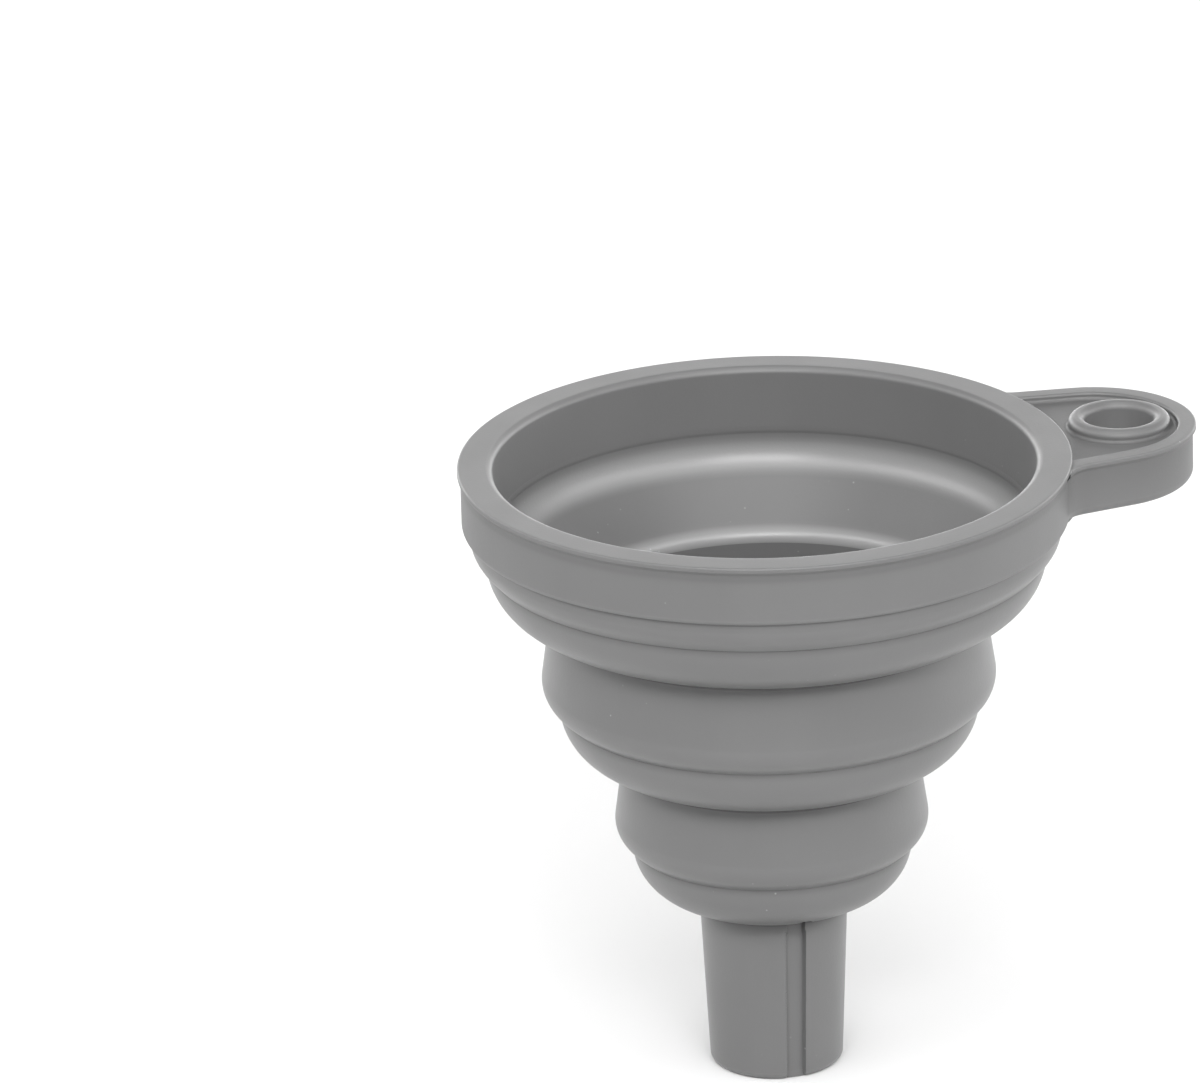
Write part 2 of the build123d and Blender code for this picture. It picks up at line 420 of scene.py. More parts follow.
# crease sets how much shade is painted into hollow turns; the rim and tab get less of it.
WALL_SILICONE = silicone(
    "wall silicone", SILICONE_TONE, SILICONE_ROUGHNESS, rub=0.7, crease_shade=0.75, pits=0.3, dust=0.5
)
WEB_SILICONE = silicone(
    "web silicone", SILICONE_TONE, SILICONE_ROUGHNESS, rub=0.9, crease_shade=0.75, pits=0.15, dust=0.4
)
RIM_SILICONE = silicone(
    "rim silicone", SILICONE_TONE, SILICONE_ROUGHNESS + RIM_DULLNESS,
    rub=0.6, crease_shade=0.25, pits=0.4, dust=0.35,
)
print("finishes:", [m.name for m in (WALL_SILICONE, WEB_SILICONE, RIM_SILICONE)])

# %% [markdown]
# ## Levels and radii
# The levels come from the frame, because each stiff zone there starts and stops at a fold, so the pieces stay
# in step with it. Neck radii can't be read from a box, since the rings flare below their necks, so they are
# named here, as the walls' and the lip's small sizes are.

# %% Sizes
SPOUT_TIP = 8.3 * MM
SPOUT_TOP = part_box("spout")[1].x
OUTLET = 6.5 * MM
NECKS = {"lower_fold": SPOUT_TOP, "middle_fold": 18.6 * MM, "upper_fold": 27.2 * MM}
THROATS = {"lower_fold": OUTLET, "middle_fold": 17.0 * MM, "upper_fold": 25.6 * MM}
BELLIES = {"lower_ring": 19.85 * MM, "middle_ring": 28.6 * MM}
LEDGE = 0.12 * MM  # the step from a wall's foot in to the web
LEDGE_ROUNDING = 0.1 * MM
BELLY_DROP = 1.9 * MM
FOOT_WALL = 0.97 * MM
MOUTH_RADIUS = 33.8 * MM
MOUTH_DRAFT = 0.8 * MM
LIP_OVERHANG = 0.4 * MM
LIP_HEIGHT = 0.6 * MM
LIP_SLANT = 0.5 * MM
RIM_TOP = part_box("rim_collar")[1].z
RIM_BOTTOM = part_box("rim_collar")[0].z
LIP_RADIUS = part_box("rim_collar")[1].x
BAND_RADIUS = LIP_RADIUS - LIP_OVERHANG
BOWL_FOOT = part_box("bowl_wall")[0].z
ARC_STEP = math.radians(3)  # the turn between neighbouring points of a rounded corner
LONGEST_STEP = 0.5 * MM
WEB_STEPS = 32  # in the quarter round of a web's outside
WALL_SEGMENTS = 288  # round the axis
BOWL_SEGMENTS = 320
RIM_SEGMENTS = 384


def mouth_wall(height):
    """Inside radius of the bowl, which narrows slightly from the mouth down to the web."""
    share = (height - BOWL_FOOT) / (RIM_TOP - BOWL_FOOT)
    return MOUTH_RADIUS - (1 - share) * MOUTH_DRAFT


print("rim at", round(RIM_TOP / MM, 1), "mm, lip radius", round(LIP_RADIUS / MM, 1), "mm")

# %% [markdown]
# ## Outlines
# An outline is drawn as a person would dimension it: corners, each with its rounding. Points could be placed
# one by one, but then a changed rounding would move many of them. These helpers turn each rounding into an
# arc of small steps and split long straights, so that the shape is smooth and the webs have enough points to
# bend. They also measure how tightly the outline turns, for the material.

# %% Outline helpers
def rounded(*corners):
    """Points along a path of (radius, height) or (radius, height, rounding) corners."""
    points = [Vector(corners[0][:2])]
    for before, corner, after in zip(corners, corners[1:], corners[2:]):
        here, rounding = Vector(corner[:2]), (corner[2] if len(corner) > 2 else 0)
        if not rounding:
            points.append(here)
            continue
        back, ahead = (Vector(before[:2]) - here).normalized(), (Vector(after[:2]) - here).normalized()
        half = back.angle(ahead) / 2
        centre = here + (back + ahead).normalized() * rounding / math.sin(half)
        first = here + back * rounding / math.tan(half) - centre
        turn = math.pi - 2 * half
        if first.cross(here + ahead * rounding / math.tan(half) - centre) < 0:
            turn = -turn
        steps = max(2, math.ceil(abs(turn) / ARC_STEP))
        points += [centre + Matrix.Rotation(turn * step / steps, 2) @ first for step in range(steps + 1)]
    return points + [Vector(corners[-1][:2])]


def quarter_round(outer, top, inner, bottom):
    """The web's outside: straight down at its outer end, level where it reaches the neck."""
    angles = [math.pi / 2 * step / WEB_STEPS for step in range(WEB_STEPS + 1)]
    return [
        Vector((inner + (outer - inner) * math.cos(a), top - (top - bottom) * math.sin(a))) for a in angles
    ]


def split_long(points):
    """The same path with no step longer than LONGEST_STEP."""
    path = [points[0]]
    for start, end in zip(points, points[1:]):
        steps = max(1, math.ceil((end - start).length / LONGEST_STEP))
        path += [start.lerp(end, step / steps) for step in range(1, steps + 1)]
    return path


# %% Wear and painted light along an outline
WEAR_AND_LIGHT = ("Rub", "CreaseShade", "HingeHighlight")
TIGHT = 1 / (0.9 * MM)  # a corner of this radius or less counts in full
HINGE_CURVES = (1 / (8 * MM), 1 / (3 * MM))  # hollow curvature of a fold's hinge
THROAT_CURVES = (1 / (2.6 * MM), 1 / (1.5 * MM))  # convex curvature of the lip at its throat
# The painted highlight and the painted crease shade each fade out along the outline:
HIGHLIGHT_SPREAD = 1.2 * MM  # how far the pale line fades out on each side
CREASE_SHADE_SPREAD = 1.1 * MM


def blurred(points, values, spread):
    """The values faded out along the path, over a distance of spread."""
    faded = []
    for here in points:
        near = [max(1 - (here - there).length / spread, 0) for there in points]
        faded.append(sum(share * value for share, value in zip(near, values)) / sum(near))
    return faded


def wear_and_light(points, side, start_crease_shade=0.0):
    """Rub, painted crease shade and painted hinge highlight at each point of the path. Side is 1 if the solid
    lies to its left.
    """
    rub, crease_shade, hinge = [0.0], [start_crease_shade], [0.0]
    for before, here, after in zip(points, points[1:], points[2:]):
        back, ahead = here - before, after - here
        turn = side * math.atan2(back.cross(ahead), back.dot(ahead)) / ((back.length + ahead.length) / 2)
        rub.append(min(max(turn / TIGHT, 0), 1))
        crease_shade.append(min(max(-turn / TIGHT, 0), 1))
        # Gentle hollow bends at a hinge and convex ones at a throat's lip get the painted highlight.
        bends = HINGE_CURVES[0] < -turn < HINGE_CURVES[1] or THROAT_CURVES[0] < turn < THROAT_CURVES[1]
        hinge.append(float(bends))
    crease_shade, hinge = crease_shade + [0.0], hinge + [0.0]
    return rub + [0.0], blurred(points, crease_shade, CREASE_SHADE_SPREAD), blurred(points, hinge, HIGHLIGHT_SPREAD)


def outline_mesh(name, *runs):
    """A closed ring of edges in the XZ plane. Each run is in sight; what joins two runs is hidden."""
    runs = [split_long(run) for run in runs]
    points = [p for run in runs for p in run]
    area = sum(p.cross(q) for p, q in zip(points, points[1:] + points[:1]))
    # The first run starts in the hollow corner beside its neighbour, which gets painted crease shade too.
    worn_and_lit = [wear_and_light(run, math.copysign(1, area), float(run is runs[0])) for run in runs]
    mesh = bpy.data.meshes.new(name)
    edges = [(i, (i + 1) % len(points)) for i in range(len(points))]
    mesh.from_pydata([(p.x, 0, p.y) for p in points], edges, [])
    for which, label in enumerate(WEAR_AND_LIGHT):
        values = [value for lists in worn_and_lit for value in lists[which]]
        mesh.attributes.new(label, "FLOAT", "POINT").data.foreach_set("value", values)
    return mesh


# %% [markdown]
# ## Turning an outline into a wall
# The Screw modifier could spin an outline, but the spout also needs an air groove down each side that runs up
# into the web above it. This Geometry Nodes tree lays a grid of points, wraps it round the axis along the
# outline, and moves the points that fall inside a groove: inwards on the spout, upwards on the web. Its
# sizes are all named inputs.

# %% The turned wall tree
TURNED_INPUTS = [
    ("Segments", "NodeSocketInt", 256),
    ("Groove Width", "NodeSocketFloat", 0.0),
    ("Groove Depth", "NodeSocketFloat", 0.0),
    ("Groove Arch", "NodeSocketFloat", 0.0),
    ("Tip Radius", "NodeSocketFloat", 0.0),
    ("Wall Lean", "NodeSocketFloat", 0.0),
    ("Neck Radius", "NodeSocketFloat", 0.0),
    ("Material", "NodeSocketMaterial", None),
]
WELD = 0.001 * MM


def turned_wall_tree():
    """Spins the input outline about Z and cuts a round-topped groove on the +Y and -Y sides."""
    tree = bpy.data.node_groups.new("Turned wall", "GeometryNodeTree")
    tree.interface.new_socket("Geometry", in_out="INPUT", socket_type="NodeSocketGeometry")
    for label, kind, value in TURNED_INPUTS:
        socket = tree.interface.new_socket(label, in_out="INPUT", socket_type=kind)
        if value is not None:
            socket.default_value = value
    tree.interface.new_socket("Geometry", in_out="OUTPUT", socket_type="NodeSocketGeometry")
    start, end = tree.nodes.new("NodeGroupInput"), tree.nodes.new("NodeGroupOutput")

    def node(kind, **links):
        """A node with its sockets linked or set. An underscore stands for a space."""
        made = tree.nodes.new(kind)
        for label, value in links.items():
            socket = made.inputs[label.replace("_", " ")]
            if isinstance(value, bpy.types.NodeSocket):
                tree.links.new(value, socket)
            else:
                socket.default_value = value
        return made

    def maths(operation, *values):
        return calculate(tree, operation, *values)

    outline = start.outputs["Geometry"]
    segments = start.outputs["Segments"]
    count = node("GeometryNodeAttributeDomainSize", Geometry=outline).outputs["Point Count"]
    grid = node(
        "GeometryNodeMeshGrid", Size_X=count, Size_Y=segments,
        Vertices_X=maths("ADD", count, 1), Vertices_Y=maths("ADD", segments, 1),
    )
    position = node("GeometryNodeInputPosition").outputs["Position"]
    spot = node("ShaderNodeSeparateXYZ", Vector=position)
    row = maths("FLOOR", maths("ADD", maths("MULTIPLY_ADD", count, 0.5, spot.outputs["X"]), 0.5))
    row = maths("MODULO", row, count)
    column = maths("ROUND", maths("MULTIPLY_ADD", segments, 0.5, spot.outputs["Y"]))
    angle = maths("MULTIPLY", maths("DIVIDE", column, segments), 2 * math.pi)

    def sampled(kind, value):
        """A value read from the outline's point in this row."""
        sample = tree.nodes.new("GeometryNodeSampleIndex")
        sample.data_type = kind
        tree.links.new(outline, sample.inputs["Geometry"])
        tree.links.new(value, sample.inputs["Value"])
        tree.links.new(row, sample.inputs["Index"])
        return sample.outputs["Value"]

    drawn = node("ShaderNodeSeparateXYZ", Vector=sampled("FLOAT_VECTOR", position))
    radius, height = drawn.outputs["X"], drawn.outputs["Z"]

    # Which points lie in a groove: within half its width of the YZ plane, and under its arched top.
    across = maths("ABSOLUTE", maths("MULTIPLY", radius, maths("COSINE", angle)))
    half = maths("MULTIPLY", start.outputs["Groove Width"], 0.5)
    rise = maths("SUBTRACT", maths("MULTIPLY", half, half), maths("MULTIPLY", across, across))
    arch = maths("ADD", start.outputs["Groove Arch"], maths("SQRT", maths("MAXIMUM", rise, 0)))
    inside = maths("MULTIPLY", maths("LESS_THAN", across, half), maths("LESS_THAN", height, arch))
    on_web = maths("GREATER_THAN", radius, maths("ADD", start.outputs["Neck Radius"], WELD))
    floor = maths("MULTIPLY_ADD", start.outputs["Wall Lean"], height, start.outputs["Tip Radius"])
    floor = maths("MINIMUM", radius, maths("SUBTRACT", floor, start.outputs["Groove Depth"]))

    def chosen(mask, plain, cut):
        """The cut value where the mask is 1, and the plain one elsewhere."""
        mix = tree.nodes.new("ShaderNodeMix")
        for value, socket in ((mask, "Factor"), (plain, "A"), (cut, "B")):
            tree.links.new(value, mix.inputs[socket])
        return mix.outputs["Result"]

    push = maths("MULTIPLY", inside, maths("SUBTRACT", 1, on_web))
    lift = maths("MULTIPLY", inside, on_web)
    radius = chosen(push, radius, floor)
    height = chosen(lift, height, maths("MAXIMUM", height, arch))
    wrapped = node(
        "ShaderNodeCombineXYZ",
        X=maths("MULTIPLY", radius, maths("COSINE", angle)),
        Y=maths("MULTIPLY", radius, maths("SINE", angle)),
        Z=height,
    )
    wall = grid.outputs["Mesh"]
    for label in WEAR_AND_LIGHT:
        named = tree.nodes.new("GeometryNodeInputNamedAttribute")
        named.data_type = "FLOAT"
        named.inputs["Name"].default_value = label
        kept = tree.nodes.new("GeometryNodeStoreNamedAttribute")
        kept.inputs["Name"].default_value = label
        tree.links.new(wall, kept.inputs["Geometry"])
        tree.links.new(sampled("FLOAT", named.outputs["Attribute"]), kept.inputs["Value"])
        wall = kept.outputs["Geometry"]
    placed = node("GeometryNodeSetPosition", Geometry=wall, Position=wrapped.outputs["Vector"])
    closed = node("GeometryNodeMergeByDistance", Geometry=placed.outputs["Geometry"], Distance=WELD)
    real = node("GeometryNodeRealizeInstances", Geometry=closed.outputs["Geometry"])
    painted = node(
        "GeometryNodeSetMaterial", Geometry=real.outputs["Geometry"], Material=start.outputs["Material"]
    )
    tree.links.new(painted.outputs["Geometry"], end.inputs["Geometry"])
    return tree


TURNED_WALL = turned_wall_tree()
print("turned wall tree:", len(TURNED_WALL.nodes), "nodes")

# %% [markdown]
# ## Making a piece
# The modifiers could stay live, but each piece is turned into a plain mesh, so that nothing is left to
# compute later. Smooth shading, with sharp edges kept where the outline has a real corner, gives the moulded
# look.

# %% Piece helpers
CORNER = math.radians(32)  # an edge that turns more than this stays sharp


def finish_mesh(mesh):
    """Normals outwards, smooth shading, and sharp edges at real corners."""
    shape = bmesh.new()
    shape.from_mesh(mesh)
    bmesh.ops.recalc_face_normals(shape, faces=shape.faces)
    shape.to_mesh(mesh)
    shape.free()
    mesh.shade_smooth()
    mesh.set_sharp_from_angle(angle=CORNER)


def place_piece(name, mesh, node):
    """A piece in the scene that stands for its CAD node."""
    piece = bpy.data.objects.new(name, mesh)
    bpy.context.scene.collection.objects.link(piece)
    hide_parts(node)
    print(name, len(mesh.vertices), "points,", len(mesh.polygons), "faces")
    return piece


def turned(name, runs, material, **sizes):
    """A mesh of revolution from its visible runs, by the turned wall tree."""
    maker = bpy.data.objects.new(name + " outline", outline_mesh(name + " outline", *runs))
    bpy.context.scene.collection.objects.link(maker)
    spin = maker.modifiers.new("turned wall", "NODES")
    spin.node_group = TURNED_WALL
    items = TURNED_WALL.interface.items_tree
    sockets = {item.name: item.identifier for item in items if item.in_out == "INPUT"}
    for label, value in {"Material": material, **sizes}.items():
        spin[sockets[label]] = value
    bpy.context.view_layer.update()
    seen = maker.evaluated_get(bpy.context.evaluated_depsgraph_get())
    mesh = bpy.data.meshes.new_from_object(seen)
    mesh.name = name
    bpy.data.objects.remove(maker)
    finish_mesh(mesh)
    return mesh


# %% [markdown]
# ## Webs
# A web is the thin part that bends. Outside it is a quarter round, so it hangs like a soft belly under the
# wall above, and inside it is a cone with a cove at the top and a rolled lip at the throat. It could be one
# surface with a Solidify modifier, but its two sides differ, so both are drawn. Where its underside meets the
# neck below there is a small hollow rounding, because a moulding has no knife-sharp inside corner.

# %% Webs
COVE = 5.5 * MM
COVE_LIFT = 0.5 * MM
THROAT_ROUNDING = 2.0 * MM
LIP_DROP = 0.4 * MM
NECK_LIFT = 0.03 * MM
NECK_ROUNDING = 0.9 * MM  # how far the hollow rounding reaches from its corner
NECK_FILLET = 0.9 * NECK_ROUNDING  # its radius, which has to fit in that reach
THROAT_DROP = 1.3 * MM
WALLS = {"lower_fold": "lower_ring", "middle_fold": "middle_ring", "upper_fold": "bowl_wall"}
SPOUT_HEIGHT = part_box("spout")[1].z
GROOVE_WIDTH = 2.4 * MM
GROOVE_RISE = 1.4 * MM  # how far the groove's top runs up past the spout, into the web
GROOVES = {
    "Segments": 384,
    "Groove Width": GROOVE_WIDTH,
    "Groove Depth": 0.75 * MM,
    "Groove Arch": SPOUT_HEIGHT + GROOVE_RISE - GROOVE_WIDTH / 2,
    "Tip Radius": SPOUT_TIP,
    "Wall Lean": (SPOUT_TOP - SPOUT_TIP) / SPOUT_HEIGHT,
    "Neck Radius": SPOUT_TOP,
}


def web(name):
    """One fold: its mesh, and the radii of its hinge and its neck."""
    low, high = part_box(name)
    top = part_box(WALLS[name])[0].z
    start, neck, throat = high.x, NECKS[name], THROATS[name]
    bottom = low.z + THROAT_DROP
    seam = cove = hinge = start + LEDGE - FOOT_WALL
    if name == "upper_fold":
        seam, cove, hinge = mouth_wall(high.z), mouth_wall(top + COVE_LIFT), mouth_wall(top)
    under = quarter_round(start, top, neck, bottom)
    kept = [p for p in under if p.x > neck + NECK_ROUNDING]
    corner = (neck, bottom + NECK_LIFT, NECK_FILLET)
    outside = kept + rounded(kept[-1], corner, (neck, bottom - NECK_ROUNDING))[1:]
    inside = rounded(
        (throat, low.z), (throat, bottom - LIP_DROP, THROAT_ROUNDING), (cove, top + COVE_LIFT, COVE),
        (seam, high.z),
    )
    sizes = GROOVES if name == "lower_fold" else {"Segments": WALL_SEGMENTS}
    return turned(name, [outside, inside], WEB_SILICONE, **sizes), hinge, neck


# %% [markdown]
# ## How a web folds
# When the ring below is pushed up, the web rolls over its hinge. A shape key could hold one folded pose, and
# shares of each neighbour's motion would work at every pose. Here the web is only placed, with its transform
# baked into the mesh: its neighbours are listed and its hinge's and neck's radii worked out, but no point is
# given a share of their motion.

# %% Placing the webs
FOLD_BODIES = {
    "lower_fold": ("lower_ring", "spout"),
    "middle_fold": ("middle_ring", "lower_ring"),
    "upper_fold": ("rim", "middle_ring"),
}


def fold(piece):
    """Bakes the web's placement into its mesh."""
    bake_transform(piece)


for fold_name in FOLD_BODIES:
    fold_mesh, fold_hinge, fold_neck = web(fold_name)
    fold(place_piece(fold_name + "_web", fold_mesh, fold_name))

# %% [markdown]
# ## Stiff rings
# The rings keep the funnel open. Each flares a little on its way down, is fullest near its foot, and rounds
# in to a foot that stands a hair proud of the web. They could be lofted, but the turned wall tree needs no
# more than their outline. The seams with the webs lean, as the thick wall runs out into the thin web.

# %% Rings
BELLY_ROUNDING = 3.6 * MM


def ring(name, neck, throat, neck_height):
    """A stiff ring, from the neck above to its foot."""
    low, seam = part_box(name)[0].z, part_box(name.replace("ring", "fold"))[1].z
    belly = BELLIES[name]
    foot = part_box(name.replace("ring", "fold"))[1].x + LEDGE
    outside = rounded(
        (foot - LEDGE, low), (foot, low, LEDGE_ROUNDING), (belly, low + BELLY_DROP, BELLY_ROUNDING),
        (neck, neck_height - NECK_ROUNDING),
    )
    inside = rounded((throat, neck_height - THROAT_DROP), (foot - FOOT_WALL, seam))
    return turned(name, [outside, inside], WALL_SILICONE, Segments=WALL_SEGMENTS)


for ring_name, above in (("lower_ring", "middle_fold"), ("middle_ring", "upper_fold")):
    ring_mesh = ring(ring_name, NECKS[above], THROATS[above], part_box(ring_name)[1].z)
    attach(place_piece(ring_name + "_wall", ring_mesh, ring_name), ring_name)

# %% [markdown]
# ## Spout
# The outlet tube tapers, its tip is well rounded so that it slips into a bottle's neck, and the two air
# grooves let the bottle breathe. A Boolean could cut them, but it would leave ragged edges across a curved
# wall, so they come from the tree's groove inputs.

# %% Spout
TIP_ROUNDING = 1.05 * MM
OUTLET_ROUNDING = 0.4 * MM


def spout():
    """The outlet tube, up to the neck of the lowest web."""
    seam = SPOUT_HEIGHT - NECK_ROUNDING
    outside = (SPOUT_TOP - (SPOUT_TOP - SPOUT_TIP) * NECK_ROUNDING / SPOUT_HEIGHT, seam)
    run = rounded(
        outside, (SPOUT_TIP, 0, TIP_ROUNDING),
        (OUTLET, 0, OUTLET_ROUNDING), (OUTLET, SPOUT_HEIGHT - THROAT_DROP),
    )
    return turned("spout", [run], WALL_SILICONE, **GROOVES)


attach(place_piece("spout_tube", spout(), "spout"), "spout")

# %% [markdown]
# ## Bowl and rim
# The rim is a thick band with a flat top, over the short wall of the bowl. A thin lip stands out at its top
# edge, with a slanted underside that runs down into the band, and the mouth's inner edge is softly rounded.
# One outline could make both, but the bowl and the rim are two nodes in the frame, so each has its own.

# %% Bowl and rim
BOWL_ROUNDING = 3.0 * MM
MOUTH_ROUNDING = 0.9 * MM
LIP_ROUNDING = 0.25 * MM
UNDERCUT_ROUNDING = 0.6 * MM
BAND_ROUNDING = 0.7 * MM
BAND_UNDERSIDE = 2 * MM  # how far in from the lip's edge the band's underside runs


def bowl():
    """The wall under the rim, down to the foot that the top web hangs from."""
    low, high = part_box("bowl_wall")
    web_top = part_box("upper_fold")[1]
    outside = rounded(
        (web_top.x, low.z), (web_top.x + LEDGE, low.z, LEDGE_ROUNDING),
        (high.x, low.z + BELLY_DROP, BOWL_ROUNDING),
        (high.x, high.z),
    )
    inside = rounded((mouth_wall(high.z), high.z), (mouth_wall(web_top.z), web_top.z))
    return turned("bowl", [outside, inside], WALL_SILICONE, Segments=BOWL_SEGMENTS)


def rim():
    """The band round the mouth, with its lip and its flat top."""
    lip_bottom = RIM_TOP - LIP_HEIGHT
    run = rounded(
        (LIP_RADIUS - BAND_UNDERSIDE, RIM_BOTTOM), (BAND_RADIUS, RIM_BOTTOM, BAND_ROUNDING),
        (BAND_RADIUS, lip_bottom - LIP_SLANT, UNDERCUT_ROUNDING), (LIP_RADIUS, lip_bottom, LIP_ROUNDING / 2),
        (LIP_RADIUS, RIM_TOP, LIP_ROUNDING), (MOUTH_RADIUS, RIM_TOP, MOUTH_ROUNDING),
        (mouth_wall(RIM_BOTTOM), RIM_BOTTOM),
    )
    return turned("rim", [run], RIM_SILICONE, Segments=RIM_SEGMENTS)


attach(place_piece("bowl_shell", bowl(), "bowl_wall"), "rim")
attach(place_piece("rim_band", rim(), "rim_collar"), "rim")

# %% [markdown]
# ## Hanging tab
# The funnel hangs from a tongue whose border follows its edge all the way round. A flat shape with Solidify
# and Bevel would round every edge alike, and this one differs at top and bottom. Its outline can be offset
# exactly, as it is made of arcs and straights, so the border, the pocket's wall, the lip and the rounded
# underside are one section carried along that outline: each point of the section becomes a loop, and the
# loops are bridged.

# %% Tab sizes
TAB_LOW, TAB_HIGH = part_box("hanging_tab")
EYELET_LOW, EYELET_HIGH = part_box("hanging_eyelet")
EYELET_RADIUS = (EYELET_HIGH.x - EYELET_LOW.x) / 2
EYELET_PLACE = (EYELET_HIGH.x + EYELET_LOW.x) / 2
EYELET_HOLE = 4.3 * MM
EYELET_SEAT = EYELET_RADIUS - 0.4 * MM  # the tab's own hole, hidden inside the eyelet's wall
HOLE_STEPS = 96
TAB_HALF_WIDTH = 12.8 * MM
TAB_END = TAB_HIGH.x - LIP_OVERHANG - TAB_HALF_WIDTH  # the centre of the round end
TAB_FLARE = 1.1 * MM
TAB_ROOT = BAND_RADIUS - 3.1 * MM  # how far in, inside the rim's wall, the flanks' lean is measured
ROOT_FILLET = 4.5 * MM
TAB_BORDER = 1.9 * MM
POCKET_FLOOR = TAB_HIGH.z - 0.9 * MM
POCKET_ROUNDING = 0.5 * MM
POCKET_MARGIN = 0.6 * MM  # how much flat floor or underside the section takes in past its rounding
BORDER_ROUNDING = 0.35 * MM
UNDER_ROUNDING = 1.3 * MM
END_STEPS = 28  # in each half of the round end
ROOT_STEPS = 14
FLANK_STEPS = 16
CLOSING_STEPS = 20
CLOSING_SUNK = 0.8 * MM
print("the tab reaches", round(TAB_HIGH.x / MM, 1), "mm from the axis")


def tab_path(out):
    """The tab's edge in plan, offset outwards: from the rim, round the end and back to the rim."""
    half, rim_radius, root_radius = TAB_HALF_WIDTH + out, BAND_RADIUS + out, ROOT_FILLET - out
    lean = math.atan2(TAB_FLARE, TAB_END - TAB_ROOT)  # the flanks spread slightly towards the rim
    normal = Vector((math.sin(lean), math.cos(lean)))
    # The fillet's centre is root_radius outside the flank and outside the rim.
    near = Vector((TAB_END, 0)) + normal * (half + root_radius)
    along = Vector((-normal.y, normal.x))
    reach = near.dot(along)
    slide = -reach - math.sqrt(reach**2 - near.length_squared + (rim_radius + root_radius) ** 2)
    centre = near + along * slide
    first = (-centre).normalized() * root_radius
    turn = first.angle(-normal)
    fillet = [centre + Matrix.Rotation(turn * i / ROOT_STEPS, 2) @ first for i in range(ROOT_STEPS + 1)]
    widest = math.pi / 2 - lean  # where the round end meets the flank
    spread = [widest - widest * i / END_STEPS for i in range(END_STEPS + 1)]
    end = [Vector((TAB_END + half * math.cos(a), half * math.sin(a))) for a in spread]
    flank = [fillet[-1].lerp(end[0], i / FLANK_STEPS) for i in range(1, FLANK_STEPS)]
    side = fillet + flank + end
    # The loop closes inside the rim's wall, along a circle, so it stays out of the mouth.
    start = math.atan2(centre.y, centre.x)
    closing = [start * (2 * i / CLOSING_STEPS - 1) for i in range(1, CLOSING_STEPS)]
    sunk = rim_radius - CLOSING_SUNK
    hidden = [Vector((sunk * math.cos(a), sunk * math.sin(a))) for a in closing]
    return side[:-1] + [Vector((p.x, -p.y)) for p in reversed(side)] + hidden


def tab_section():
    """The border's section, from pocket to underside, as (distance out from the edge, height)."""
    top, bottom = TAB_HIGH.z, TAB_LOW.z
    lip_bottom = top - LIP_HEIGHT
    points = rounded(
        (-TAB_BORDER - POCKET_MARGIN, POCKET_FLOOR), (-TAB_BORDER, POCKET_FLOOR, POCKET_ROUNDING),
        (-TAB_BORDER, top, BORDER_ROUNDING), (LIP_OVERHANG, top, LIP_ROUNDING),
        (LIP_OVERHANG, lip_bottom, LIP_ROUNDING / 2), (0, lip_bottom - LIP_SLANT, UNDERCUT_ROUNDING),
        (0, bottom, UNDER_ROUNDING), (-UNDER_ROUNDING - POCKET_MARGIN, bottom),
    )
    return points[:1] + [q for p, q in zip(points, points[1:]) if (p - q).length > WELD]


def circle_loop(shape, radius, height):
    """A ring of points round the eyelet's axis."""
    angles = [2 * math.pi * i / HOLE_STEPS for i in range(HOLE_STEPS)]
    places = [(EYELET_PLACE + radius * math.cos(a), radius * math.sin(a), height) for a in angles]
    return [shape.verts.new(place) for place in places]


def bridge(shape, lower, upper):
    """Quads between two closed loops of the same count."""
    for i in range(len(lower)):
        j = (i + 1) % len(lower)
        shape.faces.new((lower[i], lower[j], upper[j], upper[i]))


def fill_round(shape, outer, inner):
    """A flat face between an outer loop and the hole in it."""
    edges = []
    for loop in (outer, inner):
        for a, b in zip(loop, loop[1:] + loop[:1]):
            edges.append(shape.edges.get((a, b)) or shape.edges.new((a, b)))
    bmesh.ops.triangle_fill(shape, use_beauty=True, edges=edges)


# %% [markdown]
# ## The tab's mesh
# Under the tab, the moulding runs into the bowl in a small hollow fillet that fades out towards the tab's
# flanks. A bevel on the joined shapes would do it if they were one mesh. They aren't, so it is a crescent of
# its own, sunk a little into both neighbours.

# %% Tab mesh
GUSSET_RADIUS = 2.3 * MM
GUSSET_HALF_ANGLE = math.radians(25)
GUSSET_STEPS = 40
GUSSET_ARC_STEPS = 10
GUSSET_REACH = 0.998  # it stops just short of its tips, where it would have no size
GUSSET_SUNK = 0.4 * MM
# shade painted into the fillet's hollow
GUSSET_SHADE = 0.25


def add_gusset(shape, rub, crease_shade):
    """The hollow fillet between the tab's underside and the bowl."""
    wall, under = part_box("bowl_wall")[1].x, TAB_LOW.z
    loops = []
    for i in range(GUSSET_STEPS + 1):
        angle = GUSSET_HALF_ANGLE * (2 * i / GUSSET_STEPS - 1) * GUSSET_REACH
        size = GUSSET_RADIUS * math.sqrt(1 - (angle / GUSSET_HALF_ANGLE) ** 2)
        arc = [math.pi / 2 * step / GUSSET_ARC_STEPS for step in range(GUSSET_ARC_STEPS + 1)]
        section = [(wall + size - size * math.sin(a), under - size + size * math.cos(a)) for a in arc]
        section += [
            (wall - GUSSET_SUNK, under - size), (wall - GUSSET_SUNK, under + GUSSET_SUNK),
            (wall + size, under + GUSSET_SUNK),
        ]
        loops.append([shape.verts.new((r * math.cos(angle), r * math.sin(angle), z)) for r, z in section])
        for k, vert in enumerate(loops[-1]):
            # the fillet's hollow arc gets painted shade, the sunk sides none
            vert[crease_shade] = GUSSET_SHADE if k < len(arc) else 0
            vert[rub] = 0
    for one, other in zip(loops, loops[1:]):
        bridge(shape, one, other)
    shape.faces.new(loops[0])
    shape.faces.new(loops[-1])


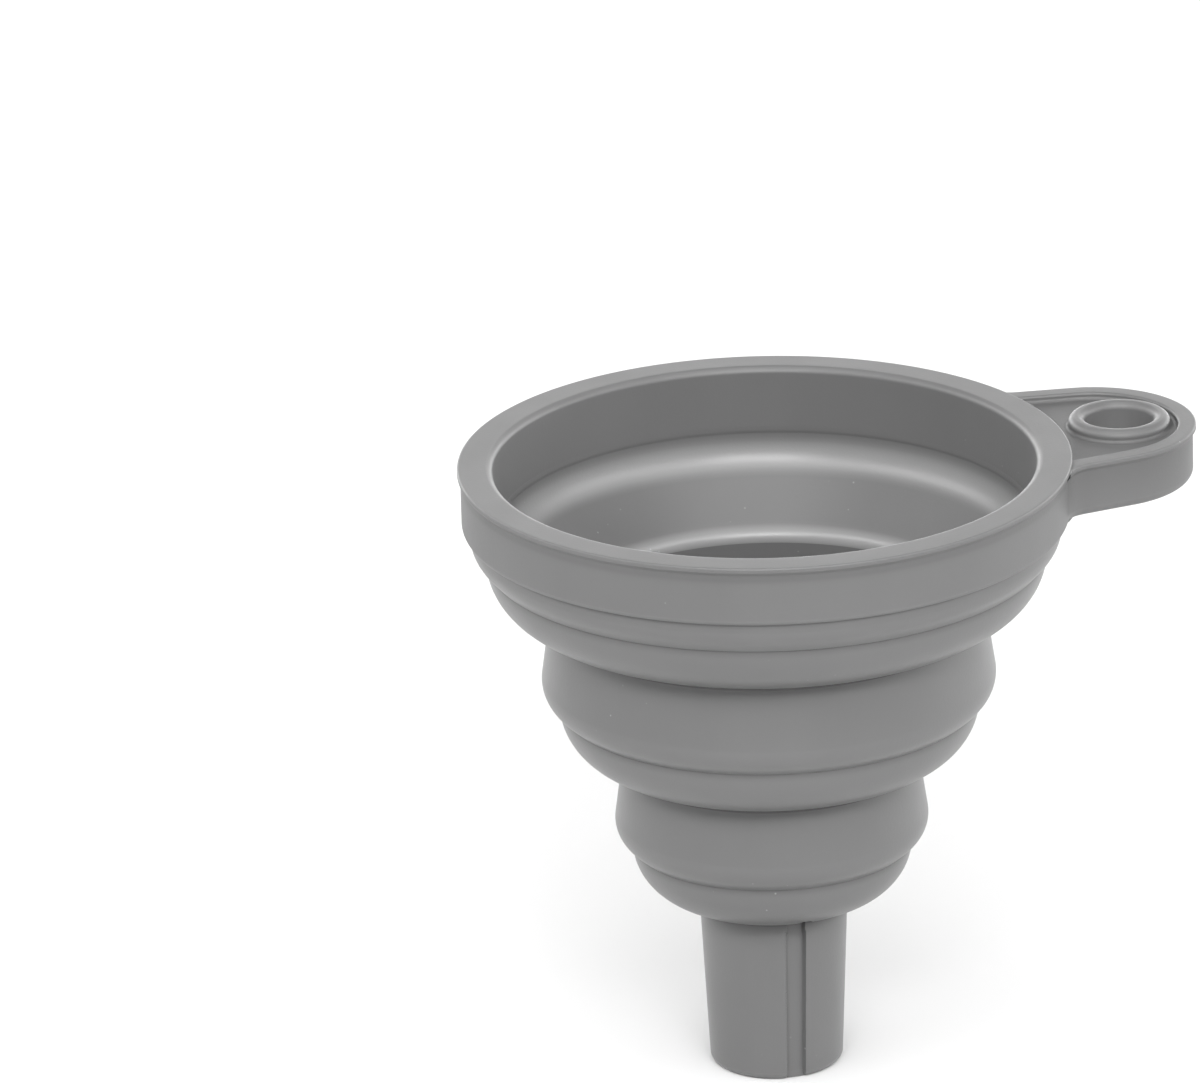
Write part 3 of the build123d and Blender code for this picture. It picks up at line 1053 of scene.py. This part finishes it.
def tab_mesh():
    """The tongue with its border, pocket, lip and rounded underside, and the seat for the eyelet."""
    shape = bmesh.new()
    rub = shape.verts.layers.float.new("Rub")
    crease_shade = shape.verts.layers.float.new("CreaseShade")
    section = tab_section()
    # hollow turns of the section get painted shade, convex ones rubbed wear
    rubs, crease_shades, _ = wear_and_light(section, -1)
    loops = []
    for point, rubbed, crease_shaded in zip(section, rubs, crease_shades):
        loops.append([shape.verts.new((p.x, p.y, point.y)) for p in tab_path(point.x)])
        for vert in loops[-1]:
            vert[rub], vert[crease_shade] = rubbed, crease_shaded
    for one, other in zip(loops, loops[1:]):
        bridge(shape, one, other)
    floor_hole = circle_loop(shape, EYELET_SEAT, POCKET_FLOOR)
    under_hole = circle_loop(shape, EYELET_SEAT, TAB_LOW.z)
    fill_round(shape, loops[0], floor_hole)
    fill_round(shape, loops[-1], under_hole)
    bridge(shape, floor_hole, under_hole)
    add_gusset(shape, rub, crease_shade)
    mesh = bpy.data.meshes.new("tab")
    shape.to_mesh(mesh)
    shape.free()
    mesh.materials.append(RIM_SILICONE)
    finish_mesh(mesh)
    return mesh


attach(place_piece("tab_tongue", tab_mesh(), "hanging_tab"), "rim")

# %% [markdown]
# ## Eyelet
# A raised bead stiffens the hole. A torus would be quicker, but the bead has a straight hole and grows out
# of the pocket's floor with a small hollow rounding, so it is turned like the rings, round its own axis.

# %% Eyelet
BEAD_ROUNDING = 0.95 * MM
BASE_FLARE = 0.55 * MM
BASE_ROUNDING = 0.45 * MM
BASE_SUNK = 0.2 * MM
BASE_PROUD = 0.01 * MM  # keeps the flare's edge clear of the pocket's floor
HOLE_ROUNDING = 0.6 * MM
SEAT_LAP = (0.15 * MM, 0.4 * MM)  # how the hidden side starts, out and up from the seat's lower edge
EYELET_SEGMENTS = 160


def eyelet():
    """The bead round the hanging hole, from the tab's underside to above its border."""
    floor, top, bottom = POCKET_FLOOR, EYELET_HIGH.z, TAB_LOW.z
    base = EYELET_RADIUS + BASE_FLARE
    run = rounded(
        (base, floor - BASE_SUNK), (base, floor + BASE_PROUD),
        (EYELET_RADIUS, floor + BASE_PROUD, BASE_ROUNDING), (EYELET_RADIUS, top, BEAD_ROUNDING),
        (EYELET_HOLE, top, BEAD_ROUNDING), (EYELET_HOLE, bottom, HOLE_ROUNDING), (EYELET_SEAT, bottom),
        (EYELET_SEAT + SEAT_LAP[0], bottom + SEAT_LAP[1]),
    )
    mesh = turned("eyelet", [run], RIM_SILICONE, Segments=EYELET_SEGMENTS)
    mesh.transform(Matrix.Translation((EYELET_PLACE, 0, 0)))
    return mesh


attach(place_piece("eyelet_bead", eyelet(), "hanging_eyelet"), "rim")
